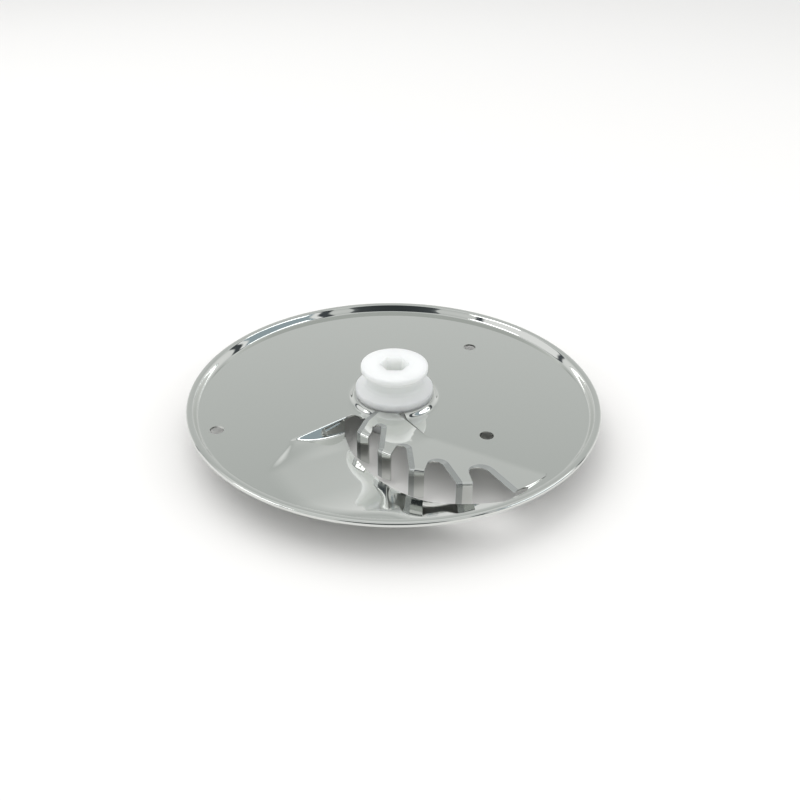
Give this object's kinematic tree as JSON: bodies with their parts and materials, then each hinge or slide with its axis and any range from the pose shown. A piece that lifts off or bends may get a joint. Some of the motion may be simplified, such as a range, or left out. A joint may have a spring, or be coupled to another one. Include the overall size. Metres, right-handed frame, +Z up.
{
  "type": "food processor disc",
  "caption": "Round pressed steel slicing disc with a raised rim, a lanced blade with bent-down strip cutters over a curved mouth, and a flanged plastic hub with a hexagonal socket.",
  "frame": {"origin": "centre of the hub's foot, where the disc stands", "axes": "+Z up along the spindle, -Y from the spindle towards the slicing mouth, +X to the right with the mouth at the front"},
  "size_m": [0.18, 0.18, 0.0294],
  "materials": {
    "disc": "mirror polished stainless steel",
    "hub": "moulded, slightly milky white"
  },
  "bodies": {
    "root": {"disc": "disc", "hub": "hub"}
  },
  "joints": []
}
